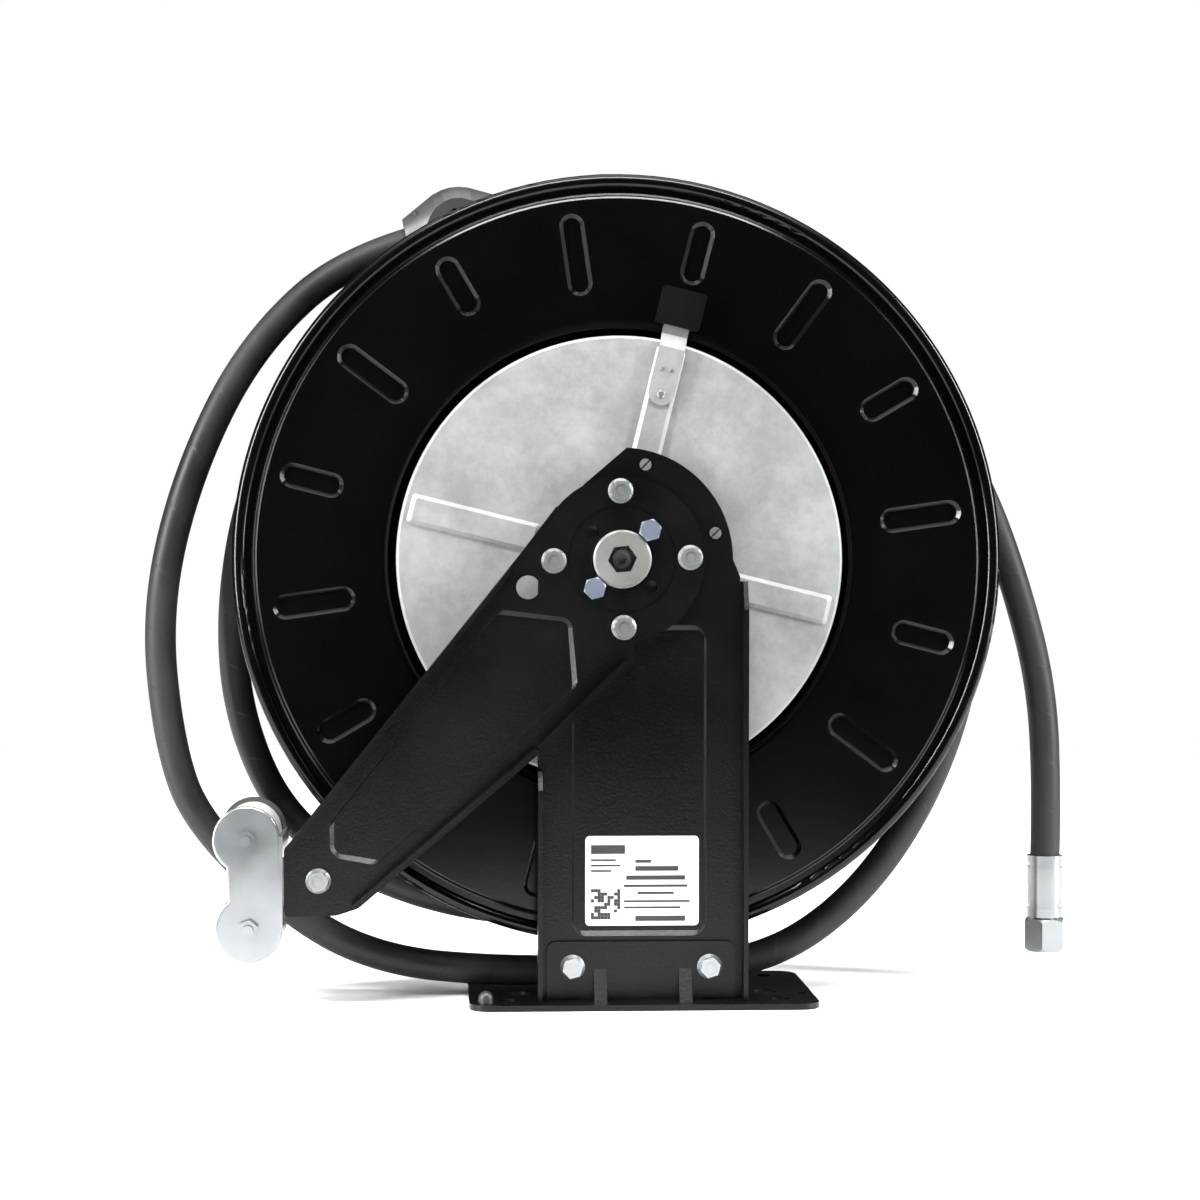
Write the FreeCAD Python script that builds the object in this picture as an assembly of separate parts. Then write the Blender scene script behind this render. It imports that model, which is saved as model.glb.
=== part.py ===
"""Spring rewind hose reel for a high pressure grease hose.

A drum with two pressed flanges turns on a fixed axle. The axle hangs from a single pressed
pedestal that stands on a base plate, and an arm on the pedestal carries the hose guide.
Millimetres, +Z up, the front towards -Y. The origin is the middle of the base's underside.
"""
import FreeCAD, Part
import math
import os

V = FreeCAD.Vector

# ---- driving dimensions -----------------------------------------------------------------
SHEET = 2.5                 # pedestal, arm and base tab
FLANGE_SHEET = 1.5          # drum flanges
RUN_GAP = 0.05              # radial clearance of a bush on the axle

BASE_W, BASE_D, BASE_T = 192.0, 128.0, 3.0
BASE_CORNER_R = 12.0
BASE_HOLE_X, BASE_HOLE_Y, BASE_HOLE_R = 150.0, 90.0, 5.25
BASE_PORT_X, BASE_PORT_Y, BASE_PORT_R = 69.3, -18.5, 7.0
BASE_RIB_X, BASE_RIB_R = 32.0, 3.0

HUB_X, HUB_Z = -12.5, 245.0  # the drum's axis runs along Y through here

PANEL_Y = -42.0             # front face of the pedestal's panel
PED_LEFT, PED_RIGHT = -46.0, 69.4      # measured from the hub, as are the outlines below
PED_HEAD_R = 61.4
EDGE_H = 10.0               # height of the stiffening edges of pedestal and arm
RECESS = 2.0                # depth of the pressed panels
ARM_GAP = 2.2               # spacer between pedestal and arm
ARM_Y = PANEL_Y - ARM_GAP - SHEET      # front face of the arm
ARM_HEAD_R = 45.6
HEAD_PCD, AXLE_PCD = 75.0, 44.0
COLLAR_R, COLLAR_FRONT = 16.0, -50.0
BORE_R = 17.1

M6_R, M6_HOLE_R, M6_AF = 3.0, 3.3, 10.0
M6_FLANGE_R, M6_FLANGE_T, M6_HEAD_T = 6.9, 1.2, 6.0

AXLE_R = 12.5
AXLE_FLANGE_R, AXLE_FLANGE_T = 43.0, 4.5
AXLE_REAR = 84.0
ARBOR_R = 22.0

DRUM_FRONT = -20.0          # front face of the front flange
DRUM_W = 77.0               # clear width between the flanges
FLANGE_R = 215.0
LIP_R, LIP_L = 130.0, 12.0
STEP_R, STEP_D = 202.0, 4.0
BEAD_R = 4.0
CORE_R = 133.0
SLOT_N, SLOT_W, SLOT_DEPTH = 16, 14.0, 2.0
SLOT_OUT_R, SLOT_LONG_R, SLOT_SHORT_R = 194.0, 148.0, 158.0
SLOT_FIRST = 98.2           # angle of the first long slot, from +X towards +Z

COVER_R, COVER_Y, COVER_T = 124.0, -28.5, 1.2
COVER_RIM = 6.0
RIB_W, RIB_H, RIB_FIRST = 16.5, 2.2, 76.3
CASE_R, CASE_REAR = 122.2, 16.2
WEB_Y = 16.4

RATCHET_R, RATCHET_ROOT, RATCHET_N = 44.0, 38.0, 12
PAWL_R, PAWL_ANGLE = 53.6, 76.0
SPRING_PIN_ANGLE = 15.7
PAWL_Y0, PAWL_Y1 = -34.3, -31.3
PAWL_SWING = 50.0

HOSE_R = 8.6
COIL_LAYER = 15.8
COIL_SIDE = 0.9             # slack between the coil and the flange's pressed slots

ROLLER_TOP = (-204.7, -153.2)
ROLLER_LOW = (-203.5, -201.6)
ROLLER_R, ROLLER_FLANGE_R = 8.0, 16.0
GUIDE_FRONT, GUIDE_LEN, GUIDE_T = -50.0, 67.0, 2.0
CHEEK_R = 18.5

STOP_R, STOP_HALF, STOP_END_R = 24.5, 30.0, 12.4
NUT_AF = 22.0

DRUM_REAR = DRUM_FRONT + 2 * FLANGE_SHEET + DRUM_W
SPACE_FRONT = DRUM_FRONT + FLANGE_SHEET
SPACE_REAR = SPACE_FRONT + DRUM_W
CLEAR = 0.3


# ---- small helpers ----------------------------------------------------------------------
def at(x, y, z):
    """A point given from the hub's axis in X and Z."""
    return V(HUB_X + x, y, HUB_Z + z)


def polar(radius, degrees):
    a = math.radians(degrees)
    return radius * math.cos(a), radius * math.sin(a)


def rod(radius, y0, y1, x=0.0, z=0.0):
    """A cylinder along Y, between y0 and y1."""
    return Part.makeCylinder(radius, y1 - y0, at(x, y0, z), V(0, 1, 0))


def tube(outer, inner, y0, y1, x=0.0, z=0.0):
    return rod(outer, y0, y1, x, z).cut(rod(inner, y0 - 1, y1 + 1, x, z))


def outline(points, y):
    """A closed wire in the XZ plane: corners are (x, z) or (x, z, radius)."""
    n = len(points)
    corners = [V(p[0], 0, p[1]) for p in points]
    ends = []
    for i, p in enumerate(points):
        here = corners[i]
        back = (corners[i - 1] - here).normalize()
        on = (corners[(i + 1) % n] - here).normalize()
        radius = p[2] if len(p) > 2 else 0.0
        if radius == 0.0:
            ends.append((here, None, here))
            continue
        half = back.getAngle(on) / 2
        reach = radius / math.tan(half)
        middle = (back + on).normalize() * (radius / math.sin(half) - radius)
        ends.append((here + back * reach, here + middle, here + on * reach))
    edges = []
    for i in range(n):
        first, middle, last = ends[i]
        if middle is not None:
            edges.append(Part.Arc(first, middle, last).toShape())
        start = ends[(i + 1) % n][0]
        if (start - last).Length > 1e-6:
            edges.append(Part.LineSegment(last, start).toShape())
    wire = Part.Wire(edges)
    wire.translate(at(0, y, 0))
    return wire


def slab(points, y0, y1):
    """A plate with that outline, between y0 and y1."""
    return Part.Face(outline(points, y0)).extrude(V(0, y1 - y0, 0))


def spun(profile):
    """A ring turned about the hub's axis, from (radius, y) points."""
    points = [at(r, y, 0) for r, y in profile]
    face = Part.Face(Part.makePolygon(points + points[:1]))
    return face.revolve(at(0, 0, 0), V(0, 1, 0), 360)


def hexagon(across, y0, y1, x, z, turn=0.0):
    corners = [polar(across / math.sqrt(3), turn + 60 * k) for k in range(6)]
    return slab([(x + cx, z + cz) for cx, cz in corners], y0, y1)


def turned(shape, degrees):
    """The shape turned about the hub's axis, anticlockwise as seen from the front."""
    done = shape.copy()
    done.rotate(at(0, 0, 0), V(0, -1, 0), degrees)
    return done


def flange_bolt(y, length, x, z, turn=0.0):
    """An M6 hexagon bolt with a collar, its bearing face at y and its shank towards +Y."""
    collar = Part.makeCone(M6_FLANGE_R, M6_AF / 2 + 0.3, 1.8, at(x, y, z), V(0, -1, 0))
    head = hexagon(M6_AF, y - M6_HEAD_T, y - M6_FLANGE_T, x, z, turn)
    socket = rod(M6_AF / 2 - 1.6, y - M6_HEAD_T - 1, y - M6_HEAD_T + 0.5, x, z)
    return collar.fuse(head).fuse(rod(M6_R, y - 1, y + length, x, z)).cut(socket)


def hex_nut(across, y0, y1, x, z, bore, turn=0.0):
    return hexagon(across, y0, y1, x, z, turn).cut(rod(bore, y0 - 1, y1 + 1, x, z))


def group(shapes):
    return Part.makeCompound(shapes)


def merged(shapes):
    return shapes[0].multiFuse(shapes[1:]).removeSplitter()


# ---- base, pedestal and arm --------------------------------------------------------------
TAB_LEFT, TAB_RIGHT, TAB_TOP = -41.0, 62.6, 35.0
TAB_BOLTS = [(-26.9, 21.0), (48.7, 21.0)]      # x from the hub, height above the floor
GUSSETS = [-11.7, 35.1]
HEAD_BOLTS = [polar(HEAD_PCD / 2, 1.5 + 90 * k) for k in range(4)]
AXLE_BOLTS = [polar(AXLE_PCD / 2, a) for a in (46.5, 226.5)]
SPARE_HOLES = [polar(AXLE_PCD / 2, a) for a in (136.5, 316.5)]
PAWL_X, PAWL_Z = polar(PAWL_R, PAWL_ANGLE)
SPRING_X, SPRING_Z = polar(PAWL_R, SPRING_PIN_ANGLE)
GUIDE_BOLT = (-165.8, -175.8)


def base_plate():
    plate = Part.makeBox(BASE_W, BASE_D, BASE_T, V(-BASE_W / 2, -BASE_D / 2, 0))
    upright = [e for e in plate.Edges if abs(e.tangentAt(e.FirstParameter).z) > 0.9]
    plate = plate.makeFillet(BASE_CORNER_R, upright)
    tab_y = PANEL_Y - SHEET
    tab = slab([(TAB_LEFT, BASE_T - HUB_Z), (TAB_RIGHT, BASE_T - HUB_Z),
                (TAB_RIGHT, TAB_TOP - HUB_Z, 5), (TAB_LEFT, TAB_TOP - HUB_Z, 5)],
               tab_y, PANEL_Y)
    parts = [plate, tab]
    for x in GUSSETS:
        corner = [at(x, tab_y + 0.5, BASE_T - 0.5 - HUB_Z), at(x, tab_y - 9, BASE_T - 0.5 - HUB_Z),
                  at(x, tab_y + 0.5, 21 - HUB_Z)]
        web = Part.Face(Part.makePolygon(corner + corner[:1])).extrude(V(7, 0, 0))
        web.translate(V(-3.5, 0, 0))
        parts.append(web)
    for side in (-1, 1):
        ridge = Part.makeCylinder(BASE_RIB_R, BASE_D - 50, V(side * BASE_RIB_X, -14, 0.2), V(0, 1, 0))
        keep = Part.makeBox(20, BASE_D, 20, V(side * BASE_RIB_X - 10, -BASE_D / 2 + 40, 1))
        parts.append(ridge.common(keep))
    body = merged(parts)
    holes = []
    for sx in (-1, 1):
        for sy in (-1, 1):
            centre = V(sx * BASE_HOLE_X / 2, sy * BASE_HOLE_Y / 2, -1)
            holes.append(Part.makeCylinder(BASE_HOLE_R, BASE_T + 2, centre))
        holes.append(Part.makeCylinder(BASE_PORT_R, BASE_T + 2, V(sx * BASE_PORT_X, BASE_PORT_Y, -1)))
    for x, z in TAB_BOLTS:
        holes.append(rod(M6_HOLE_R, tab_y - 1, PANEL_Y + 1, x, z - HUB_Z))
    holes.append(Part.makeCylinder(3.0, BASE_T + 2, V(89.2, -24, -1)))
    return body.cut(Part.makeCompound(holes))


def base_stud():
    """The small domed stop near the base's front left corner."""
    dome = Part.makeSphere(4.0, V(-87, -52, BASE_T + 2.5))
    post = Part.makeCylinder(4.0, 2.5, V(-87, -52, BASE_T))
    return post.fuse(dome.common(Part.makeBox(10, 10, 10, V(-92, -57, BASE_T + 2)))).removeSplitter()


SLOPE = 3.0                 # how far a pressed panel's side slopes outwards


def pressed_panel(sheet, corners, front):
    """Presses the area inside corners back by the recess depth."""
    n = len(corners)
    middle = [sum(c[k] for c in corners) / n for k in (0, 1)]
    wider = []
    for c in corners:
        dx, dz = c[0] - middle[0], c[1] - middle[1]
        far = math.hypot(dx, dz)
        wider.append((c[0] + SLOPE * dx / far, c[1] + SLOPE * dz / far, c[2] + SLOPE))
    rear = front + SHEET
    pocket = Part.makeLoft([outline(wider, front - 0.01), outline(corners, front + RECESS)], True)
    boss = Part.makeLoft([outline(wider, rear - 0.5), outline(corners, rear + RECESS)], True)
    return sheet.fuse(boss).cut(pocket)


def pedestal():
    foot = BASE_T + 0.4 - HUB_Z
    head = [polar(PED_HEAD_R, a) for a in (0, 88)]
    arc_mid = polar(PED_HEAD_R, 44)
    left = [V(2.7, 0, 61.3), V(-20.6, 0, 41.3), V(-38.0, 0, 18.0), V(PED_LEFT, 0, -10.0)]
    right_top = V(PED_RIGHT - 4.0, 0, -9.5)
    low_right = V(PED_RIGHT - 4.0, 0, foot)
    low_left = V(PED_LEFT, 0, foot)
    edges = [Part.Arc(V(head[0][0], 0, head[0][1]), V(arc_mid[0], 0, arc_mid[1]), left[0]).toShape()]
    trail = left + [low_left, low_right, right_top, V(head[0][0], 0, head[0][1])]
    for a, b in zip(trail, trail[1:]):
        edges.append(Part.LineSegment(a, b).toShape())
    wire = Part.Wire(edges)
    wire.translate(at(0, PANEL_Y, 0))
    sheet = Part.Face(wire).extrude(V(0, SHEET, 0))
    right_edge = slab([(PED_RIGHT - SHEET, -12), (PED_RIGHT, -12), (PED_RIGHT, foot),
                       (PED_RIGHT - SHEET, foot)], PANEL_Y - EDGE_H, PANEL_Y + SHEET)
    bevel = [at(PED_RIGHT - 5, PANEL_Y - EDGE_H - 1, -30), at(PED_RIGHT - 5, PANEL_Y - EDGE_H - 1, -5),
             at(PED_RIGHT - 5, PANEL_Y - 0.5, -5)]
    right_edge = right_edge.cut(Part.Face(Part.makePolygon(bevel + bevel[:1])).extrude(V(10, 0, 0)))
    bridge = slab([(PED_RIGHT - 6, -12), (PED_RIGHT, -12), (PED_RIGHT, foot), (PED_RIGHT - 6, foot)],
                  PANEL_Y, PANEL_Y + SHEET)
    left_edge = slab([(PED_LEFT, -116), (PED_LEFT + SHEET, -116), (PED_LEFT + SHEET, foot),
                      (PED_LEFT, foot)], PANEL_Y - EDGE_H, PANEL_Y + 1)
    slope = [at(PED_LEFT - 1, PANEL_Y - EDGE_H - 1, -128), at(PED_LEFT - 1, PANEL_Y - EDGE_H - 1, -110),
             at(PED_LEFT - 1, PANEL_Y - 1, -110)]
    left_edge = left_edge.cut(Part.Face(Part.makePolygon(slope + slope[:1])).extrude(V(6, 0, 0)))
    body = merged([sheet, right_edge, bridge, left_edge])
    body = pressed_panel(body, [(-25.9, -39, 5), (45.7, -39, 5), (45.7, -204.5, 5), (-25.9, -204.5, 5)],
                         PANEL_Y)
    holes = [rod(BORE_R, PANEL_Y - 1, PANEL_Y + SHEET + 1)]
    for x, z in HEAD_BOLTS + AXLE_BOLTS + SPARE_HOLES:
        holes.append(rod(M6_HOLE_R, PANEL_Y - 1, PANEL_Y + SHEET + RECESS + 1, x, z))
    for x, z in ((PAWL_X, PAWL_Z), (SPRING_X, SPRING_Z)):
        holes.append(rod(M6_HOLE_R, PANEL_Y - 1, PANEL_Y + SHEET + 1, x, z))
    for x, z in TAB_BOLTS:
        holes.append(rod(M6_HOLE_R, PANEL_Y - 1, PANEL_Y + SHEET + 1, x, z - HUB_Z))
    return body.cut(Part.makeCompound(holes))


ARM_OUTLINE = [(-36, 29, 0), (-55.4, 3.5, 12), (-184.4, -158.4, 4), (-184.4, -195.4, 3),
               (-156, -194.8, 6), (-144, -191, 8), (-43.6, -105.2, 30), (7.3, -55.4, 4), (7.0, -40, 0)]


def edge_strip(start, end, width, height):
    """A stiffening edge bent forward from the arm, along the line from start to end."""
    dx, dz = end[0] - start[0], end[1] - start[1]
    far = math.hypot(dx, dz)
    nx, nz = -dz / far * width, dx / far * width
    points = [start, end, (end[0] + nx, end[1] + nz), (start[0] + nx, start[1] + nz)]
    return slab([tuple(p) for p in points], ARM_Y - height, ARM_Y + 1)


def guide_arm():
    sheet = slab([p if p[2] else p[:2] for p in ARM_OUTLINE], ARM_Y, ARM_Y + SHEET)
    head = rod(ARM_HEAD_R, ARM_Y, ARM_Y + SHEET)
    upper = edge_strip((-62, -4.8), (-182.5, -156.0), SHEET, EDGE_H)
    lower = edge_strip((-146, -190.5), (-46, -105.2), SHEET, EDGE_H)
    foot = edge_strip((-43.6, -103.0), (3.0, -57.4), SHEET, EDGE_H)
    body = merged([sheet, head, upper, lower, foot])
    body = pressed_panel(body, [(-68.5, -30.3, 4), (-29.9, -34.5, 4), (-27, -70.4, 4),
                                (-132.3, -164.8, 6), (-157.2, -160.6, 5), (-157.2, -142.7, 4)], ARM_Y)
    holes = [rod(BORE_R, ARM_Y - 1, ARM_Y + SHEET + 1),
             rod(6.5, ARM_Y - 1, ARM_Y + SHEET + 1, -51.6, -15.5),
             rod(M6_HOLE_R, ARM_Y - 1, ARM_Y + SHEET + 1, *GUIDE_BOLT)]
    for x, z in HEAD_BOLTS + AXLE_BOLTS + SPARE_HOLES:
        holes.append(rod(M6_HOLE_R, ARM_Y - 1, ARM_Y + SHEET + 1, x, z))
    seat = tube(29.6, 29.0, ARM_Y - 1, ARM_Y + 0.3)
    return body.cut(Part.makeCompound(holes)).cut(seat)


def head_spacer():
    """The ring that keeps the arm clear of the pedestal."""
    ring = tube(41.6, BORE_R + 0.2, PANEL_Y - ARM_GAP, PANEL_Y)
    for x, z in HEAD_BOLTS + AXLE_BOLTS + SPARE_HOLES:
        ring = ring.cut(rod(M6_HOLE_R, PANEL_Y - ARM_GAP - 1, PANEL_Y + 1, x, z))
    return ring


def rating_label():
    y = PANEL_Y + RECESS
    return slab([(-19.7, -152.4, 2.5), (43, -152.4, 2.5), (43, -201.8, 2.5), (-19.7, -201.8, 2.5)],
                y - 0.25, y)


def base_bolts():
    return group([flange_bolt(PANEL_Y - SHEET, 12, x, z - HUB_Z, 15) for x, z in TAB_BOLTS])


def base_nuts():
    y = PANEL_Y + SHEET
    return group([hex_nut(M6_AF, y, y + 5, x, z - HUB_Z, M6_R + RUN_GAP) for x, z in TAB_BOLTS])


def head_bolts():
    depth = -ARM_Y + PANEL_Y + SHEET + AXLE_FLANGE_T - 0.6
    return group([flange_bolt(ARM_Y, depth, x, z, 20 + 35 * k) for k, (x, z) in enumerate(HEAD_BOLTS)])


def axle_bolts():
    """Plain hexagon bolts that clamp the axle's flange."""
    depth = PANEL_Y + SHEET + AXLE_FLANGE_T - 0.6
    bolts = []
    for x, z in AXLE_BOLTS:
        head = hexagon(11.0, ARM_Y - 4.5, ARM_Y, x, z, 15)
        crown = Part.makeCone(6.6, 5.2, 1.4, at(x, ARM_Y - 3.4, z), V(0, -1, 0))
        head = head.common(crown.fuse(rod(6.6, ARM_Y - 3.4, ARM_Y, x, z)))
        bolts.append(head.fuse(rod(M6_R, ARM_Y - 1, depth, x, z)))
    return group(bolts)


# ---- axle ---------------------------------------------------------------------------------
def axle():
    y0 = PANEL_Y + SHEET
    y1 = y0 + AXLE_FLANGE_T
    body = merged([rod(AXLE_FLANGE_R, y0, y1), rod(AXLE_R, y1 - 1, AXLE_REAR)])
    cuts = [rod(11.2, y0 - 1, y0 + 7.5), rod(M6_R + RUN_GAP, y0, y0 + 22),
            rod(7.5, AXLE_REAR - 12, AXLE_REAR + 1), rod(4.0, AXLE_REAR - 33, AXLE_REAR)]
    across = 2 * AXLE_R + 2
    cuts.append(Part.makeCylinder(3.0, across, at(-across / 2, 58, 0), V(1, 0, 0)))
    cuts.append(Part.makeCylinder(3.0, across, at(0, 58, -across / 2), V(0, 0, 1)))
    for x, z in HEAD_BOLTS + AXLE_BOLTS:
        cuts.append(rod(M6_R + RUN_GAP, y0 - 1, y1 - 0.5, x, z))
    cuts.append(slab([(-50, -60), (50, -60), (50, -35.2), (-50, -35.2)], y0 - 1, y0 + RECESS + 0.3))
    groove = tube(AXLE_R + 1, AXLE_R - 1.0, 74.0, 75.6)
    return body.cut(Part.makeCompound(cuts)).cut(groove)


def axle_collar():
    y0 = PANEL_Y + SHEET
    body = merged([rod(COLLAR_R, COLLAR_FRONT, y0), rod(11.1, y0 - 1, y0 + 7.3)])
    chamfer = [(COLLAR_R - 1.2, COLLAR_FRONT - 0.1), (COLLAR_R + 1, COLLAR_FRONT - 0.1),
               (COLLAR_R + 1, COLLAR_FRONT + 2.1), (COLLAR_R, COLLAR_FRONT + 1.2)]
    body = body.cut(spun(chamfer))
    body = body.cut(hexagon(14.0, COLLAR_FRONT - 1, y0 + 4, 0, 0, 6))
    return body.cut(rod(M6_R + 0.2, y0, y0 + 10))


def axle_screw():
    y = PANEL_Y + SHEET + 4
    head = rod(5.0, y - 6, y).cut(hexagon(5.0, y - 7, y - 3, 0, 0, 10))
    return head.fuse(rod(M6_R, y - 0.5, y + 17))


def spring_arbor():
    """The sleeve that holds the power spring's inner end on the axle."""
    return tube(ARBOR_R, AXLE_R + RUN_GAP, -26.8, 13.0)


def circlip():
    """The retaining ring behind the swivel, open at the bottom."""
    ring = tube(AXLE_R + 3.0, AXLE_R - 0.95, 74.05, 75.55)
    gap = slab([(-3, -30), (3, -30), (3, 0), (-3, 0)], 73, 77)
    return ring.cut(gap)


def thrust_washer():
    return tube(AXLE_R + 6, AXLE_R + RUN_GAP, 72.6, 73.9)


# ---- pawl ---------------------------------------------------------------------------------
def slotted_pin(x, z, rear):
    """A slotted screw that serves as a pin behind the pedestal."""
    body = rod(M6_HOLE_R - RUN_GAP, PANEL_Y - 0.6, PANEL_Y + SHEET, x, z)
    body = body.fuse(rod(M6_R, PANEL_Y, rear, x, z))
    slot = slab([(x - 4, z - 0.5), (x + 4, z - 0.5), (x + 4, z + 0.5), (x - 4, z + 0.5)],
                PANEL_Y - 2, PANEL_Y + 0.5)
    slot.rotate(at(x, 0, z), V(0, -1, 0), 45)
    return body.cut(slot)


def pawl_pin():
    return slotted_pin(PAWL_X, PAWL_Z, PAWL_Y1 - 0.05)


def spring_pin():
    return slotted_pin(SPRING_X, SPRING_Z, PAWL_Y1 - 1)


NOSE, TAIL = 12.6, 9.0


def pawl():
    nose = PAWL_ANGLE + 180 - PAWL_SWING
    def spot(distance, angle, side=0.0):
        x, z = polar(distance, angle)
        sx, sz = polar(side, angle + 90)
        return PAWL_X + x + sx, PAWL_Z + z + sz
    boss = rod(6.0, PAWL_Y0, PAWL_Y1, PAWL_X, PAWL_Z)
    arm = slab([spot(0, nose, 4.5), spot(NOSE, nose, 2.0), spot(NOSE, nose, -2.0), spot(0, nose, -4.5)],
               PAWL_Y0, PAWL_Y1)
    tail_angle = -8.8
    tail = slab([spot(0, tail_angle, 4), spot(TAIL + 2, tail_angle, 3), spot(TAIL + 2, tail_angle, -3),
                 spot(0, tail_angle, -4)], PAWL_Y0, PAWL_Y1)
    hook = spot(TAIL, tail_angle)
    holes = [rod(M6_R + RUN_GAP, PAWL_Y0 - 1, PAWL_Y1 + 1, PAWL_X, PAWL_Z),
             rod(1.0, PAWL_Y0 - 1, PAWL_Y1 + 1, *hook)]
    return merged([boss, arm, tail]).cut(Part.makeCompound(holes))


def pawl_spring():
    """The small extension spring that holds the pawl clear of the ratchet, as closed turns."""
    start = V(*at(PAWL_X, 0, PAWL_Z))
    tail = polar(TAIL + 4.5, -8.8)
    begin = at(PAWL_X + tail[0], -36.6, PAWL_Z + tail[1])
    stop = at(SPRING_X, -36.6, SPRING_Z)
    way = (stop - begin).normalize()
    begin, stop = begin + way * 3.0, stop - way * 4.6
    length = (stop - begin).Length
    body = Part.makeCylinder(1.9, length, begin, way)
    turns = 14
    for k in range(1, turns):
        spot = begin + way * (length * k / turns)
        groove = Part.makeTorus(2.1, 0.45, spot, way)
        body = body.cut(groove)
    return body


# ---- hose guide ---------------------------------------------------------------------------
def cheek(y0, y1):
    """The figure-of-eight side of the guide, straight along its right side."""
    top, low = ROLLER_TOP, ROLLER_LOW
    lobes = rod(CHEEK_R, y0, y1, *top).fuse(rod(CHEEK_R, y0, y1, *low))
    waist = slab([(top[0] - 11, top[1] - 10), (top[0], top[1]), (top[0] + CHEEK_R, top[1]),
                  (low[0] + CHEEK_R, low[1]), (low[0], low[1]), (low[0] - 11, low[1] + 10)], y0, y1)
    return lobes.fuse(waist)


def guide_bracket():
    """One bent strip: two cheeks, the web that joins them and the leg behind the arm."""
    y0, y1 = GUIDE_FRONT, GUIDE_FRONT + GUIDE_LEN
    web_x = max(ROLLER_TOP[0], ROLLER_LOW[0]) + CHEEK_R
    front = cheek(y0, y0 + GUIDE_T).removeSplitter()
    rim = [e for e in front.Edges if e.BoundBox.YMax < y0 + 0.01]
    front = front.makeFillet(1.6, rim)
    rear = cheek(y1 - GUIDE_T, y1)
    web = slab([(web_x - GUIDE_T, ROLLER_TOP[1] + 2), (web_x, ROLLER_TOP[1] + 2),
                (web_x, ROLLER_LOW[1] - 2), (web_x - GUIDE_T, ROLLER_LOW[1] - 2)], y0, y1)
    leg_y = ARM_Y + SHEET
    leg = slab([(web_x - 1, -163), (-158.5, -163, 4), (-158.5, -189, 4), (web_x - 1, -189)],
               leg_y, leg_y + GUIDE_T)
    window = slab([(web_x - 6, -168.5), (web_x + 3, -168.5), (web_x + 3, -212), (web_x - 6, -212)],
                  -22.0, y1 - GUIDE_T - 3.5)
    body = merged([front, rear, web, leg]).cut(window)
    holes = [rod(M6_HOLE_R, leg_y - 1, leg_y + GUIDE_T + 1, *GUIDE_BOLT)]
    for x, z in (ROLLER_TOP, ROLLER_LOW):
        holes.append(rod(M6_HOLE_R, y0 - 1, y0 + GUIDE_T + 1, x, z))
        holes.append(rod(M6_HOLE_R, y1 - GUIDE_T - 1, y1 + 1, x, z))
    return body.cut(Part.makeCompound(holes))


def guide_axles():
    """Two studs that the rollers turn on."""
    y0, y1 = GUIDE_FRONT - 7.5, GUIDE_FRONT + GUIDE_LEN + 7.0
    return group([rod(M6_R, y0, y1, x, z) for x, z in (ROLLER_TOP, ROLLER_LOW)])


def guide_nuts():
    nuts = []
    y1 = GUIDE_FRONT + GUIDE_LEN
    for x, z in (ROLLER_TOP, ROLLER_LOW):
        nuts.append(hex_nut(M6_AF, GUIDE_FRONT - 5, GUIDE_FRONT, x, z, M6_R + RUN_GAP, 20))
        nuts.append(hex_nut(M6_AF, y1, y1 + 5, x, z, M6_R + RUN_GAP, 20))
    return group(nuts)


def roller(x, z):
    y0 = GUIDE_FRONT + GUIDE_T + 0.5
    y1 = GUIDE_FRONT + GUIDE_LEN - GUIDE_T - 0.5
    body = [rod(ROLLER_R, y0, y1, x, z)]
    for a, way in ((y0, 1), (y1, -1)):
        axis = V(0, way, 0)
        body.append(Part.makeCylinder(ROLLER_FLANGE_R, 4, at(x, a, z), axis))
        body.append(Part.makeCone(ROLLER_FLANGE_R, ROLLER_R, 4.5, at(x, a + way * 4, z), axis))
    return merged(body).cut(rod(M6_R + RUN_GAP, y0 - 1, y1 + 1, x, z))


def guide_bolt():
    return flange_bolt(ARM_Y, 12, *GUIDE_BOLT, 10)


def guide_bolt_nut():
    y = ARM_Y + SHEET + GUIDE_T
    return hex_nut(M6_AF, y, y + 5, *GUIDE_BOLT, M6_R + RUN_GAP, 0)


# ---- drum ---------------------------------------------------------------------------------
def stadium(angle, inner, outer, half, y):
    """The outline of a radial slot with round ends, at depth y."""
    a0 = polar(inner + half, angle)
    a1 = polar(outer - half, angle)
    sx, sz = polar(half, angle + 90)
    tip_in = polar(inner, angle)
    tip_out = polar(outer, angle)
    p = [at(a0[0] + sx, y, a0[1] + sz), at(a1[0] + sx, y, a1[1] + sz),
         at(tip_out[0], y, tip_out[1]), at(a1[0] - sx, y, a1[1] - sz),
         at(a0[0] - sx, y, a0[1] - sz), at(tip_in[0], y, tip_in[1])]
    edges = [Part.LineSegment(p[0], p[1]).toShape(), Part.Arc(p[1], p[2], p[3]).toShape(),
             Part.LineSegment(p[3], p[4]).toShape(), Part.Arc(p[4], p[5], p[0]).toShape()]
    return Part.Wire(edges)


def pressed_slots(face, way):
    """The pockets and the bosses of the slots: face is the outer face, way points inwards."""
    pockets, bosses = [], []
    for k in range(SLOT_N):
        angle = SLOT_FIRST - 360.0 / SLOT_N * k
        inner = SLOT_LONG_R if k % 2 == 0 else SLOT_SHORT_R
        for shift, store, start in ((0.0, pockets, -0.01), (FLANGE_SHEET, bosses, -0.5)):
            y0 = face + way * (shift + start)
            y1 = face + way * (shift + SLOT_DEPTH)
            wide = stadium(angle, inner, SLOT_OUT_R, SLOT_W / 2, y0)
            tight = stadium(angle, inner + 2.2, SLOT_OUT_R - 2.2, SLOT_W / 2 - 2.2, y1)
            store.append(Part.makeLoft([wide, tight], True))
    return pockets, bosses


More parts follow.
